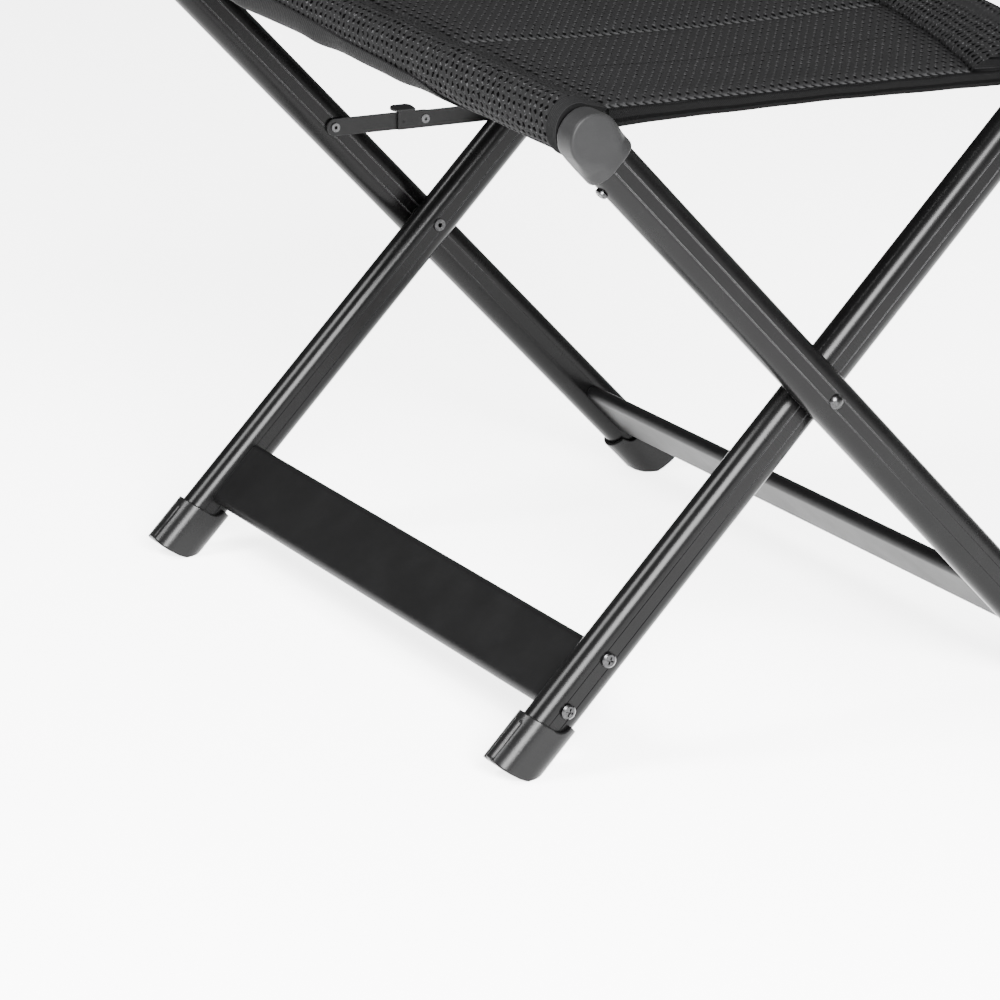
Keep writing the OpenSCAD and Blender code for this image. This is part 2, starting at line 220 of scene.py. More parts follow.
def lattice(m, u, v, pu, pv, ou, ov, ru, rv, half=True):
    """Distance to the nearest point of a lattice in weave coordinates, over the radii ru and rv.

    pu and pv are its pitches, ou and ov its offsets; half staggers every second column.
    """
    a = m.math("DIVIDE", m.math("ADD", u, -ou), pu)
    b = m.math("DIVIDE", m.math("ADD", v, -ov), pv)
    a = m.math("ADD", a, 0.5)
    if half:
        odd = m.math("MODULO", m.math("ADD", m.math("FLOOR", a), 1000.0), 2.0)
        b = m.math("ADD", b, m.math("MULTIPLY", odd, 0.5))
    fa = m.math("SUBTRACT", m.math("FRACT", a), 0.5)
    fb = m.math("SUBTRACT", m.math("FRACT", m.math("ADD", b, 0.5)), 0.5)
    fa = m.math("MULTIPLY", fa, pu / ru)
    fb = m.math("MULTIPLY", fb, pv / rv)
    d = m.math("ADD", m.math("MULTIPLY", fa, fa), m.math("MULTIPLY", fb, fb))
    return m.math("SQRT", d)


# the repeat of the panel's stitches across and along it, and of the sleeves' holes
PITCH, REPEAT = 5.8, 8.0
HOLE_U, HOLE_V = 5.0, 5.5


def mesh_material(name, kind):
    """Black spacer mesh. 'roll' has large staggered holes, 'panel' fine lines of stitches."""
    m = Nodes(name)
    wv = m.attr("weave", "Vector")
    w = m.new("ShaderNodeSeparateXYZ")
    m.put(w.inputs[0], wv)
    u, v = w.outputs[0], w.outputs[1]
    pit_shade = m.attr("pit_shade")
    warp = m.noise(wv, 0.45, 1.0, 0.5)
    warp2 = m.noise(m.mapping(wv, rot=(0, 0, 1.3)), 0.4, 1.0, 0.5)
    sway = 4.2 if kind == "roll" else 2.2
    uw = m.math("ADD", u, m.math("MULTIPLY", m.math("SUBTRACT", warp, 0.5), sway))
    vw = m.math("ADD", v, m.math("MULTIPLY", m.math("SUBTRACT", warp2, 0.5), sway))
    yarn = m.noise(m.mapping(wv, scale=(1.0, 0.55, 1.0)), 2.6, 2.0, 0.65)
    fine = m.noise(wv, 7.0, 1.0, 0.5)
    blot = m.noise(wv, 0.05, 2.0, 0.5)
    quiet = m.attr("quiet")
    loud = m.math("SUBTRACT", 1.0, quiet)
    base = m.mix(m.step(yarn, 0.3, 0.75), 0.0030, 0.0100)
    base = m.mix(m.step(blot, 0.3, 0.7, 0.0, 0.3), base, 0.0055)
    if kind == "roll":
        d = lattice(m, uw, vw, HOLE_U, HOLE_V, 0.0, 0.0, 1.38, 1.2)
        hole = m.math("MULTIPLY", m.step(d, 1.2, 0.7), loud)
        f = lattice(m, uw, vw, HOLE_U, HOLE_V, 1.9, -0.8, 0.45, 1.15)
        fleck = m.math("MULTIPLY", m.step(f, 1.1, 0.4), loud)
        f2 = lattice(m, uw, vw, HOLE_U, HOLE_V, -1.5, 0.8, 0.45, 0.8)
        fleck2 = m.math("MULTIPLY", m.step(f2, 1.1, 0.4, 0.0, 0.45), loud)
        fleck = m.math("MAXIMUM", fleck, fleck2)
        amount = 1.0
    else:
        # the bright yarn runs along the diagonal of one stitch repeat
        near = m.attr("near")
        d1 = lattice(m, uw, vw, PITCH, REPEAT, -1.5, -2.6, 0.80, 1.35, half=False)
        # the holes are drawn larger near the seams and the stitched rows; this darkens those valleys, partly as
        # the mesh's own pattern and partly as painted shade
        d1 = m.math("DIVIDE", d1, m.math("ADD", 1.0, m.math("MULTIPLY", near, 1.15)))
        d2 = lattice(m, uw, vw, PITCH, REPEAT, 1.3, 1.2, 0.65, 1.0, half=False)
        hole = m.math("MAXIMUM", m.step(d1, 1.15, 0.5), m.step(d2, 1.1, 0.4, 0.0, 0.5))
        s = w.outputs[2]
        us = m.math("ADD", u, m.math("MULTIPLY", s, 0.6))
        # two lines of slits along each stitched row, one on either side of it
        slits = [m.step(lattice(m, us, s, PITCH, 900.0, ou, ov, 0.95, 1.55, half=False), 1.2, 0.6)
                 for ou, ov in ((0.0, -1.75), (PITCH / 2, 1.75))]
        slit = m.math("MAXIMUM", *slits)
        run = m.math("SUBTRACT", m.math("DIVIDE", uw, PITCH), m.math("DIVIDE", vw, REPEAT))
        run = m.math("ABSOLUTE", m.math("SUBTRACT", m.math("FRACT", m.math("ADD", run, 0.5)), 0.5))
        line = m.math("MULTIPLY", run, 4.7 / 0.5)
        dot = lattice(m, uw, vw, PITCH, REPEAT, 0.0, 0.0, 0.75, 1.5, half=False)
        fleck = m.math("MAXIMUM", m.step(line, 1.3, 0.3, 0.0, 0.55), m.step(dot, 1.1, 0.4))
        base = m.mix(m.math("MULTIPLY", quiet, 0.85), base, 0.026)
        rest = m.math("SUBTRACT", 1.0, m.math("MULTIPLY", quiet, 0.8))
        fleck = m.math("MULTIPLY", fleck, rest)
        hole = m.math("MULTIPLY", hole, rest)
        hole = m.math("MAXIMUM", hole, slit)
        amount = 0.8
    patch = m.noise(wv, 0.4, 1.0, 0.5)
    fleck = m.math("MULTIPLY", fleck, m.step(patch, 0.3, 0.62, 0.25, 1.0))
    col = m.mix(m.math("MULTIPLY", fleck, amount), base, 0.040 if kind == "roll" else 0.027)
    # painted shade: the colour is darkened in the holes and where the shade attribute marks pits pressed in,
    # the seams' valleys and the cut ends
    painted_shade = m.math("MAXIMUM", m.math("MULTIPLY", hole, 0.92), pit_shade)
    col = m.mix(painted_shade, col, 0.0003)
    h = m.math("SUBTRACT", m.math("MULTIPLY", yarn, 0.35), hole)
    h = m.math("ADD", h, m.math("MULTIPLY", fleck, 0.5))
    h = m.math("ADD", h, m.math("MULTIPLY", fine, 0.15))
    n = m.bump(h, 0.85, 0.0006)
    r = m.math("ADD", 0.62, m.math("MULTIPLY", yarn, 0.3))
    gloss = m.math("MULTIPLY", m.math("SUBTRACT", 1.0, painted_shade, clamp=True), 0.035)
    return m.done(col, r, n, spec=gloss)


def twill_material(name, base, pitch, angle, strength):
    """Binding tape: fine twill, its ribs turned by angle."""
    m = Nodes(name)
    wv = m.attr("weave", "Vector")
    t = m.new("ShaderNodeSeparateXYZ")
    m.put(t.inputs[0], m.mapping(wv, rot=(0, 0, angle)))
    wob = m.noise(wv, 0.5, 1.0, 0.5)
    p = m.math("ADD", t.outputs[0], m.math("MULTIPLY", wob, 0.4))
    rib = m.math("SINE", m.math("MULTIPLY", p, 2 * math.pi / pitch))
    cross = m.math("SINE", m.math("MULTIPLY", t.outputs[1], 2 * math.pi / 0.9))
    h = m.math("ADD", rib, m.math("MULTIPLY", cross, 0.35))
    yarn = m.noise(wv, 3.0, 2.0, 0.6)
    blot = m.noise(wv, 0.06, 2.0, 0.5)
    pit_shade = m.attr("pit_shade")
    col = m.mix(m.step(h, -1.0, 1.2), base * 0.62, base * 1.45)
    col = m.mix(m.step(yarn, 0.45, 0.8, 0.0, 0.35), col, base * 2.2)
    col = m.mix(m.step(blot, 0.3, 0.7, 0.0, 0.25), col, base * 0.7)
    # painted shade where the shade attribute is set
    col = m.mix(pit_shade, col, 0.002)
    n = m.bump(m.math("ADD", h, m.math("MULTIPLY", yarn, 0.8)), strength, 0.00018)
    return m.done(col, 0.72, n, spec=0.03)


def screw_material(name, base, rough):
    """Dark metal with fine scratches and lighter edges."""
    m = Nodes(name)
    o = m.obj()
    scr = m.noise(m.mapping(o, scale=(1, 3, 1)), 900, 2.0, 0.6)
    blot = m.noise(o, 300, 2.0, 0.5)
    mask, soft = m.edges(0.0003)
    col = m.mix(m.step(scr, 0.35, 0.75), base * 0.75, base * 1.3)
    col = m.mix(m.math("MULTIPLY", mask, 0.5), col, min(0.9, base * 2.2))
    r = m.math("ADD", rough - 0.05, m.math("MULTIPLY", blot, 0.12))
    return m.done(col, r, m.bump(scr, 0.3, 0.00003, soft), metallic=1.0)


TURN_OUT = (0, -(math.pi / 2 - LEAN), 0)
TURN_IN = (0, (math.pi / 2 - LEAN), 0)
MATS = {
    "outer_leg": tube_material("leg_tube_outer", TURN_OUT),
    "inner_leg": tube_material("leg_tube_inner", TURN_IN),
    "top_tube": tube_material("leg_tube_top", (math.pi / 2, 0, 0)),
    "foot_rail": plain_material("rail_paint", 0.003, 0.42, 2600, 0.00004, spec=0.05,
                                edge=0.35, edge_radius=0.0012),
    "cap": plain_material("cap_moulded", 0.0080, 0.40, 1500, 0.00022, spec=0.06),
    "foot": plain_material("boot_rubber", 0.0028, 0.27, 1900, 0.00012, spec=0.10),
    "screw": screw_material("screw_metal", 0.035, 0.26),
    "rivet": screw_material("rivet_metal", 0.030, 0.26),
    "washer": plain_material("spacer_nylon", 0.006, 0.5, 1800, 0.00005, spec=0.2),
    "link": plain_material("brace_paint", 0.0045, 0.42, 2400, 0.00004, spec=0.12, edge=0.4),
    "brace_rivet": screw_material("brace_rivet_metal", 0.055, 0.28),
}


# the first key found in a node's name gives its material
MATERIAL_KEYS = (
    ("brace_rivet", "brace_rivet"), ("middle_rivet", "brace_rivet"),
    ("washer", "washer"), ("spacer", "washer"), ("bushes", "washer"),
    ("screws", "screw"), ("pivot_rivet", "rivet"), ("brace_link", "link"),
    ("cap_", "cap"), ("foot_rail", "foot_rail"), ("foot_", "foot"), ("top_tube", "top_tube"),
    ("outer", "outer_leg"),
)


def material_for(node):
    for key, mat in MATERIAL_KEYS:
        if key in node:
            return MATS[mat]
    return MATS["inner_leg"]


for node_name, ob in NODES.items():
    mat = material_for(node_name)
    if not ob.data.materials:
        ob.data.materials.append(mat)
    for sl in ob.material_slots:
        sl.link = "OBJECT"
        sl.material = mat


def moulded(node, voxel, rounds, mat):
    """A moulded piece with soft, rounded edges in place of the plain CAD one."""
    src = NODES[node]
    name = node + "_moulded"
    ob = bpy.data.objects.new(name, src.data.copy())
    bpy.context.scene.collection.objects.link(ob)
    rm = ob.modifiers.new("remesh", "REMESH")
    rm.mode = "VOXEL"
    rm.voxel_size = voxel
    sm = ob.modifiers.new("soften", "SMOOTH")
    sm.factor = 0.5
    sm.iterations = rounds
    dg = bpy.context.evaluated_depsgraph_get()
    me = bpy.data.meshes.new_from_object(ob.evaluated_get(dg))
    ob.modifiers.clear()
    me.name = name
    me.materials.clear()
    me.materials.append(mat)
    me.polygons.foreach_set("use_smooth", [True] * len(me.polygons))
    ob.data = me
    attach(ob, "outer_frame" if node.startswith("outer") else "inner_frame")
    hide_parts(node)
    return ob


for frame_name in ("outer", "inner"):
    for end_name in ("near", "far"):
        moulded("%s_cap_%s" % (frame_name, end_name), 0.0007, 16, MATS["cap"])
        moulded("%s_foot_%s" % (frame_name, end_name), 0.0006, 2, MATS["foot"])

FABRIC_ROLL = mesh_material("mesh_roll", "roll")
FABRIC_PANEL = mesh_material("mesh_panel", "panel")
TAPE = twill_material("tape_twill", 0.0045, 1.25, 0.72, 0.5)
BINDING = twill_material("binding_twill", 0.0019, 1.25, 0.95, 1.0)
HEM = twill_material("hem_ribs", 0.0045, 1.3, 0.0, 0.25)


# ------------------------------------------------------------------ mesh tools
def signed_volume(v, quads):
    """Six times the volume inside the quads, negative when they face inwards."""
    return sum(np.einsum("ij,ij->", v[f[:, 0]], np.cross(v[f[:, 1]], v[f[:, 2]]))
               for f in (quads[:, [0, 1, 2]], quads[:, [0, 2, 3]]))


def to_object(name, verts, faces, mat, weave, pit_shade=None, quiet=None, near=None):
    """A mesh object of quads, turned outwards, with what the cloth materials read at each point."""
    verts = np.asarray(verts, float)
    faces = np.asarray(faces)
    if signed_volume(verts, faces) < 0:
        faces = faces[:, ::-1]
    me = bpy.data.meshes.new(name)
    me.from_pydata((verts * MM).tolist(), [], faces.tolist())
    me.validate()
    me.polygons.foreach_set("use_smooth", [True] * len(me.polygons))
    n = len(verts)
    w = np.zeros((n, 3), np.float32)
    w[:, :weave.shape[1]] = weave
    a = me.attributes.new("weave", "FLOAT_VECTOR", "POINT")
    a.data.foreach_set("vector", w.ravel())
    for key, val in (("pit_shade", pit_shade), ("quiet", quiet), ("near", near)):
        a = me.attributes.new(key, "FLOAT", "POINT")
        if val is not None:
            a.data.foreach_set("value", np.asarray(val, np.float32))
    me.materials.append(mat)
    me.update()
    ob = bpy.data.objects.new(name, me)
    bpy.context.scene.collection.objects.link(ob)
    return ob


def grid_faces(nr, nc, wrap, base=0):
    """Quads of a grid of nr rows and nc columns; wrap joins the last column to the first."""
    r = np.arange(nr - 1)[:, None]
    c = np.arange(nc if wrap else nc - 1)[None, :]
    d = (c + 1) % nc
    q = np.stack([r * nc + c, r * nc + d, (r + 1) * nc + d, (r + 1) * nc + c], -1)
    return q.reshape(-1, 4) + base


def sheet_faces(nr, nc):
    """Quads of two stacked grids, the second turned over, joined round their rim."""
    n = nr * nc
    ring = np.concatenate([np.arange(nc), nc * np.arange(1, nr) + nc - 1,
                           n - 2 - np.arange(nc - 1), nc * np.arange(nr - 2, 0, -1)])
    nxt = np.roll(ring, -1)
    return np.vstack([grid_faces(nr, nc, False), grid_faces(nr, nc, False, n)[:, ::-1],
                      np.stack([nxt, ring, ring + n, nxt + n], -1)])


def resample(p, n):
    """n points at even steps along the line p."""
    d = np.r_[0, np.cumsum(np.linalg.norm(np.diff(p, axis=0), axis=1))]
    t = np.linspace(0, d[-1], n)
    return np.c_[np.interp(t, d, p[:, 0]), np.interp(t, d, p[:, 1])]


def normals(p):
    t = np.gradient(p, axis=0)
    t /= np.linalg.norm(t, axis=1)[:, None]
    return np.c_[t[:, 1], -t[:, 0]]


def hermite(p0, t0, p1, t1, n=24):
    """Points of the curve from p0 to p1 that leaves along t0 and arrives along t1."""
    t = np.linspace(0, 1, n)[:, None]
    return ((2 * t**3 - 3 * t**2 + 1) * p0 + (t**3 - 2 * t**2 + t) * t0
            + (-2 * t**3 + 3 * t**2) * p1 + (t**3 - t**2) * t1)


def wobble(y, k, amp):
    """A fixed, irregular wave along the length, for cloth that isn't perfectly even."""
    y = np.asarray(y, float)
    return amp * (np.sin(y / 9.7 + 1.3 * k) + 0.7 * np.sin(y / 15.1 + 2.1 * k + 1.0)
                  + 0.5 * np.sin(y / 5.3 + 0.7 * k)) / 1.6


# ------------------------------------------------------------------ seat layout
FRONT, BACK = -238.5, 238.5
STITCH_ROWS = (FRONT + 3.6, BACK - 3.6, -80.0, 80.0)
PANEL_WIDTH = 300.0  # rough width, for how far the padding is from the seams
SEAM_Z = {-1: 7.0, 1: 5.2}  # height of each seam over the tube's axis
ROLL_R = 14.35  # radius of the cloth where it lies close round the tube
BORE_R = 12.72  # radius of the sleeve's inside
SLEEVE_ENDS = {-1: (-254.45, 254.45), 1: (-233.45, 228.95)}


def seam_dx(y, side):
    """Distance from the tube's axis inward to the seam between sleeve and panel."""
    y = np.asarray(y, float)
    if side < 0:
        s = 28.0 + wobble(y, 1, 0.4)
        return s - 9.0 * smooth(-244, -255, y) - 9.0 * smooth(244, 255, y)
    t = np.clip((-75 - y) / 170.0, 0, None)
    return 34.0 + 31.0 * t**1.6 + wobble(y, 2, 0.4)


def sag(a, y):
    """How far the panel hangs below the two tubes' plane between its sides."""
    mid = np.sin(np.pi * np.clip(a, 0, 1)) ** 0.8
    along = 1 - 0.85 * smooth(-190, -236, y) - 0.85 * smooth(190, 236, y)
    return 4.6 * mid * along


def puff(y, side, end=1.0):
    """How far the sleeve's padding stands out over the tube; less at the sleeve's ends."""
    return (4.2 if side < 0 else 6.4) * (0.45 + 0.55 * end) + float(wobble(y, 3 + side, 0.45))


def section(S, zt, zb, r0, bulge, n):
    """Outline of a sleeve, (inward, up) from the tube's axis.

    It starts at the seam, (S, zt), goes over, round and under the tube, and ends at (S, zb).
    """
    th1 = math.atan2(zt, S) + math.acos(min(0.98, (r0 + bulge * 0.6) / math.hypot(S, zt)))
    th2 = 2 * math.pi + math.atan2(zb, S) - math.acos(min(0.98, r0 / math.hypot(S, zb)))
    th = np.linspace(th1, th2, 90)
    r = r0 + bulge * np.exp(-(((np.degrees(th) - 96) / 56) ** 2))
    arc = np.c_[r * np.cos(th), r * np.sin(th)]
    p0 = np.array([S, zt])
    c = np.linalg.norm(arc[0] - p0)
    top = hermite(p0, np.array([-0.42, 0.62]) * c, arc[0], np.array([-math.sin(th1), math.cos(th1)]) * c * 0.95)
    p1 = np.array([S, zb])
    c = np.linalg.norm(arc[-1] - p1)
    bot = hermite(arc[-1], np.array([-math.sin(th2), math.cos(th2)]) * c * 0.9, p1, np.array([0.8, 0.1]) * c)
    return resample(np.vstack([top[:-1], arc, bot[1:]]), n)


NU = 92  # points round a sleeve
STEP_U, STEP_Y = 1.25, 1.375  # their spacing round and along it
PIT_DEPTH = 0.75
CUT_END = 0.62  # how dark a sleeve's cut end is, in the shade of the edge tape


def roll(side):
    """A sleeve's padded cloth, with the holes of its mesh pressed in."""
    y0, y1 = SLEEVE_ENDS[side]
    ny = int(round((y1 - y0) / STEP_Y / 4)) * 4 + 1
    ys = np.linspace(y0, y1, ny)
    V, W, P, Q = [], [], [], []
    # towards its ends the sewn part runs on past the tube's sleeve, or stops short of it
    reach = 12.5 if side < 0 else -6.0
    drift = reach * (1 - smooth(y0, y0 + 40, ys)) - reach * (1 - smooth(y1, y1 - 40, ys))
    S = seam_dx(ys + drift, side)
    for i, y in enumerate(ys):
        end = smooth(0, 14, min(y - y0, y1 - y))
        zt = SEAM_Z[side] + float(wobble(y * 1.9, 5, 0.35))
        p = section(S[i], zt, zt - 4.2, ROLL_R + float(wobble(y, 8, 0.2)), puff(y, side, end), NU)
        nrm = normals(p)
        deg = np.degrees(np.arctan2(p[:, 1], p[:, 0])) % 360
        far = p[:, 0] > 8
        quiet = np.exp(-(((deg - 67) / 13.0) ** 2)) * (~(far & (deg > 180)))
        quiet = np.where(p[:, 0] > S[i] - 13, quiet * smooth(S[i] - 8, S[i] - 13, p[:, 0]), quiet)
        band = 8.5 if side < 0 or y > 0 else 3.0
        hem = (1 - smooth(band, band + 2.0, min(y - y0, y1 - y))) * (p[:, 0] < 19.0)
        quiet = np.clip(quiet * 0.95 + hem, 0, 1)
        k = np.arange(NU)
        lat = np.zeros(NU)
        if i % 2 == 0:
            lat[k % 8 == (0 if i % 4 == 0 else 4)] = 1
        edge = min(i, ny - 1 - i)
        lat *= (1 - quiet) * (edge > 1)
        soft = (np.roll(lat, 1) + np.roll(lat, -1)) * 0.28
        p = p - nrm * (PIT_DEPTH * lat + PIT_DEPTH * soft)[:, None]
        yy = y + drift[i] * smooth(17.5, 25, p[:, 0])
        axx, azz = bar(yy, side)
        V.append(np.c_[axx - side * p[:, 0], yy, azz + p[:, 1]])
        W.append(np.c_[k * STEP_U, np.full(NU, i * STEP_Y)])
        # painted shade: the cloth is darkened towards the seam's valley, over the cut ends and in the pits
        # pressed in
        seam_and_end_shade = smooth(S[i] - 4.0, S[i] - 0.5, p[:, 0]) * 0.5
        if edge == 0:
            seam_and_end_shade = np.full(NU, CUT_END)
        P.append(np.maximum(lat * 0.85, seam_and_end_shade))
        Q.append(quiet)
    faces = [grid_faces(ny, NU, True)]
    verts = np.vstack(V)
    W, P, Q = np.vstack(W), np.concatenate(P), np.concatenate(Q)
    # the bore for the tube
    nb = 9
    base = len(verts)
    yb = np.linspace(y0, y1, nb)
    first = verts[:NU]
    fx, fz = bar(first[:, 1], side)
    ang = np.unwrap(np.arctan2(first[:, 2] - fz, -side * (first[:, 0] - fx)))
    bore = []
    for y in yb:
        bx, bz = bar(y, side)
        bore.append(np.c_[bx - side * BORE_R * np.cos(ang), np.full(NU, y), bz + BORE_R * np.sin(ang)])
    verts = np.vstack([verts] + bore)
    faces.append(grid_faces(nb, NU, True, base)[:, ::-1])
    c = np.arange(NU)
    d = (c + 1) % NU
    faces.append(np.stack([base + c, base + d, d, c], -1))
    o, q = (ny - 1) * NU, base + (nb - 1) * NU
    faces.append(np.stack([o + c, o + d, q + d, q + c], -1))
    m = len(verts) - base
    W = np.vstack([W, np.zeros((m, 2))])
    P, Q = np.r_[P, np.full(m, CUT_END)], np.r_[Q, np.ones(m)]
    name = "sleeve_roll_left" if side < 0 else "sleeve_roll_right"
    return to_object(name, verts, np.vstack(faces), FABRIC_ROLL, W, P, Q)


def edge_y(a, which):
    """The panel's front or back edge line; it curves in a little between the corners."""
    bow = 2.2 * np.sin(np.pi * np.clip(a, 0, 1))
    return (FRONT + bow) if which < 0 else (BACK - bow)


def panel_rows():
    """Places of the panel's grid lines along it, closer together at the stitched rows."""
    ys = np.arange(FRONT, BACK + 0.01, 3.6)
    keep = np.ones(len(ys), bool)
    extra = []
    for r in STITCH_ROWS:
        keep &= np.abs(ys - r) > 6.5
        extra += list(r + np.arange(-5.6, 5.61, 0.8))
    allr = np.array(sorted(list(ys[keep]) + extra + [FRONT, BACK]))
    allr = allr[(allr >= FRONT - 0.01) & (allr <= BACK + 0.01)]
    out = [allr[0]]
    for v in allr[1:]:
        if v - out[-1] > 0.35:
            out.append(v)
    return np.array(out)


def panel_height(A, Y, X):
    """Top and bottom height of the panel over the tubes' plane, with the depth of its stitch holes."""
    d = np.min([np.abs(Y - r) for r in STITCH_ROWS], axis=0)
    da = np.minimum(A, 1 - A) * PANEL_WIDTH
    pad = (1 - np.exp(-((d / 10.0) ** 1.5))) * (1 - np.exp(-((da / 10.0) ** 1.4)))
    edge = smooth(0, 3.0, np.minimum(Y - FRONT, BACK - Y))
    top = SEAM_Z[-1] * (1 - A) + SEAM_Z[1] * A - sag(A, Y)
    top = top + 2.7 * pad * (0.6 + 0.4 * edge) + 0.16 * wobble(X * 0.8 + Y * 0.15, 4, 1.0)
    thick = 3.4 + 4.2 * pad
    hole = np.zeros_like(top)
    for r in STITCH_ROWS:
        for off, ph in ((-1.7, 0.0), (1.7, 0.5)):
            col = (X + (Y - r - off) * 0.6) / PITCH + ph
            f = np.abs(col - np.round(col)) * PITCH
            hole = np.maximum(hole, np.exp(-((f / 1.0) ** 2)) * np.exp(-(((Y - r - off) / 1.15) ** 2)))
        top = top - 0.7 * np.exp(-(((Y - r) / 3.8) ** 2))
        ridge = np.exp(-(((Y - r) / 2.8) ** 2)) * 0.6 * np.cos(2 * np.pi * (X + (Y - r) * 0.9) / PITCH)
        top = top + ridge
    return top, top - thick, hole


def panel():
    """The padded seat cloth between the two seams, with its stitched rows."""
    rows = panel_rows()
    nx = 270
    a = np.linspace(0, 1, nx)
    A, T = np.meshgrid(a, rows)
    lo, hi = edge_y(A, -1), edge_y(A, 1)
    Y = lo + (T - FRONT) / (BACK - FRONT) * (hi - lo)
    xl, z = bar(Y, -1)
    xr, _ = bar(Y, 1)
    X = (xl + seam_dx(Y, -1) - 1.4) * (1 - A) + (xr - seam_dx(Y, 1) + 1.4) * A
    top, bot, hole = panel_height(A, T, X)
    up = np.stack([X, Y, z + top - 1.3 * hole], -1).reshape(-1, 3)
    dn = np.stack([X, Y, z + bot + 0.4 * hole], -1).reshape(-1, 3)
    off = np.stack([T - r for r in STITCH_ROWS])
    off = np.take_along_axis(off, np.abs(off).argmin(0)[None], 0)[0]
    W = np.stack([X - PIVOT_X, Y, np.clip(off, -9, 9)], -1).reshape(-1, 3)
    q = np.max([np.exp(-(((T - r) / 2.6) ** 4)) for r in STITCH_ROWS], axis=0).reshape(-1)
    da = np.minimum(A, 1 - A) * PANEL_WIDTH
    # painted shade in the stitch holes and along the seams' valleys, half as dark on the underside
    P = np.clip(np.maximum(hole * 1.25, 0.6 * np.exp(-((da / 4.0) ** 2))), 0, 0.97).reshape(-1)
    dr = np.min([np.abs(T - r) for r in STITCH_ROWS], axis=0)
    close = np.maximum(np.exp(-((da / 20.0) ** 2)), 0.8 * np.exp(-((dr / 8.0) ** 2))).reshape(-1)
    return to_object("seat_cloth", np.vstack([up, dn]), sheet_faces(len(rows), nx), FABRIC_PANEL,
                     np.vstack([W, W + 50.0]), np.r_[P, P * 0.5], np.r_[q, q], np.r_[close, close])


def sweep(centres, profiles, out, up):
    """Points, faces and weave places of closed profiles of (out, up) set along centres."""
    nr, nc = len(centres), len(profiles[0])
    V = np.array([c + p[:, :1] * out + p[:, 1:] * up for c, p in zip(centres, profiles)])
    verts = V.reshape(-1, 3)
    faces = [grid_faces(nr, nc, True)]
    # close both ends with a fan of quads round a centre loop
    for row in (0, nr - 1):
        ring = np.arange(nc) + row * nc
        mid = V[row].mean(0)
        loop = len(verts)
        verts = np.vstack([verts, mid + (V[row] - mid) * 0.3, mid[None]])
        inner = loop + np.arange(nc)
        nx_ = np.roll(np.arange(nc), -1)
        q = np.stack([ring, ring[nx_], inner[nx_], inner], -1)
        c = np.full(nc, loop + nc)
        t = np.stack([inner, inner[nx_], c, c], -1)
        faces.append(q[:, ::-1] if row == 0 else q)
        faces.append(t[:, ::-1] if row == 0 else t)
    seg = np.r_[0, np.cumsum(np.linalg.norm(np.diff(V[0], axis=0), axis=1))]
    run = np.r_[0, np.cumsum(np.linalg.norm(np.diff(np.array(centres), axis=0), axis=1))]
    W = np.stack(np.meshgrid(seg, run), -1).reshape(-1, 2)
    W = np.vstack([W, np.zeros((len(verts) - len(W), 2))])
    return verts, np.vstack(faces), W


def from_sweep(name, verts, faces, W, mat):
    """A mesh object from sweep(), whose end fans are triangles written with a point twice."""
    tris = faces[faces[:, 2] == faces[:, 3]]
    tris2 = faces[faces[:, 0] == faces[:, 1]]
    quads = faces[(faces[:, 2] != faces[:, 3]) & (faces[:, 0] != faces[:, 1])]
    allf = quads.tolist() + tris[:, :3].tolist() + tris2[:, 1:].tolist()
    if signed_volume(verts, quads) < 0:
        allf = [f[::-1] for f in allf]
    me = bpy.data.meshes.new(name)
    me.from_pydata((verts * MM).tolist(), [], allf)
    me.validate()
    me.polygons.foreach_set("use_smooth", [True] * len(me.polygons))
    w = np.zeros((len(verts), 3), np.float32)
    w[:, :2] = W
    at = me.attributes.new("weave", "FLOAT_VECTOR", "POINT")
    at.data.foreach_set("vector", w.ravel())
    for key in ("pit_shade", "quiet"):
        me.attributes.new(key, "FLOAT", "POINT")
    me.materials.append(mat)
    ob = bpy.data.objects.new(name, me)
    bpy.context.scene.collection.objects.link(ob)
    return ob


def edge_binding(which):
    """Twill tape folded over the panel's front or back edge."""
    ye = float(edge_y(1.0, which))
    span = (float(bar(ye, 1)[0]) - float(seam_dx(ye, 1))) - (float(bar(ye, -1)[0]) + float(seam_dx(ye, -1)))
    xs = np.linspace(-0.022, 1.0 + (float(seam_dx(ye, 1)) - 21.5) / span, 170)
    centres, profiles = [], []
    for a in xs:
        y = float(edge_y(a, which))
        xl, z = bar(y, -1)
        xr, _ = bar(y, 1)
        sl, sr = float(seam_dx(y, -1)), float(seam_dx(y, 1))
        x = (xl + sl) * (1 - a) + (xr - sr) * a
        base = SEAM_Z[-1] * (1 - a) + SEAM_Z[1] * a - float(sag(np.array([a]), np.array([y]))[0])
        drop = 0.6 + 1.1 * (2 * abs(a - 0.5)) ** 2
        top = base - 0.3 + 0.25 * math.sin(x / 7.1)
        low = -2.4 - drop + 0.18 * math.sin(x / 17.3 + 1) + 0.08 * math.sin(x / 6.9)
        th = 2.4 + 0.2 * math.sin(x / 13.0)
        profile = []
        for t in np.linspace(0, 2 * np.pi, 28, endpoint=False):
            c, s = math.cos(t), math.sin(t)
            px = th * (abs(c) ** 0.75) * (1 if c > 0 else -1)
            h = (abs(s) ** 0.55) * (1 if s > 0 else -1)
            pz = (top + low) / 2 + (top - low) / 2 * h
            profile.append((px + 0.5 * math.cos((pz - low) / (top - low) * 6.0), pz))
        centres.append(np.array([x, y + 0.9 * which, z]))
        profiles.append(np.array(profile))
    swept = sweep(centres, profiles, np.array([0.0, which, 0.0]), np.array([0.0, 0.0, 1.0]))
    return from_sweep("hem_front" if which < 0 else "hem_back", *swept, BINDING)


HEM_WIDTH = 9.2


